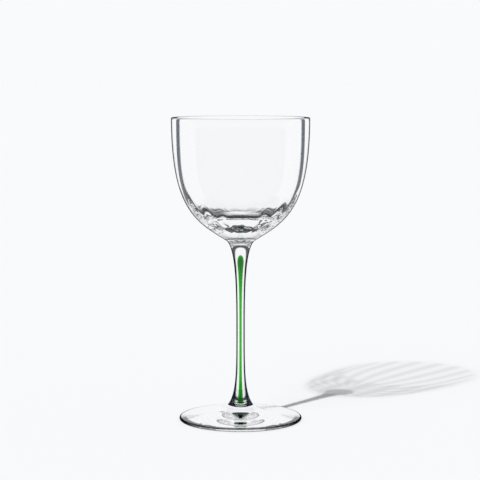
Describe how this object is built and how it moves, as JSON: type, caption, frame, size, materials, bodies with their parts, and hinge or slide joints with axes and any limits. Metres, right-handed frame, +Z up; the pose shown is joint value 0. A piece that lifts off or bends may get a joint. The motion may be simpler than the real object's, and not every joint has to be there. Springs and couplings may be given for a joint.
{
  "type": "cocktail coupe",
  "caption": "Stemmed cocktail glass: a deep clear bowl with optic ribs inside, a slim stem that cases a green glass thread, and a low disc foot.",
  "frame": {"origin": "centre of the foot's footprint, on the table the glass stands on", "axes": "+Z up along the glass's axis; X and Y are free because the glass is round"},
  "size_m": [0.075, 0.075, 0.165],
  "materials": {
    "clear_glass": "polished clear",
    "green_glass": "polished transparent green"
  },
  "bodies": {
    "root": {"bowl": "clear_glass", "stem": "clear_glass", "stem_core": "green_glass", "foot": "clear_glass"}
  },
  "joints": []
}
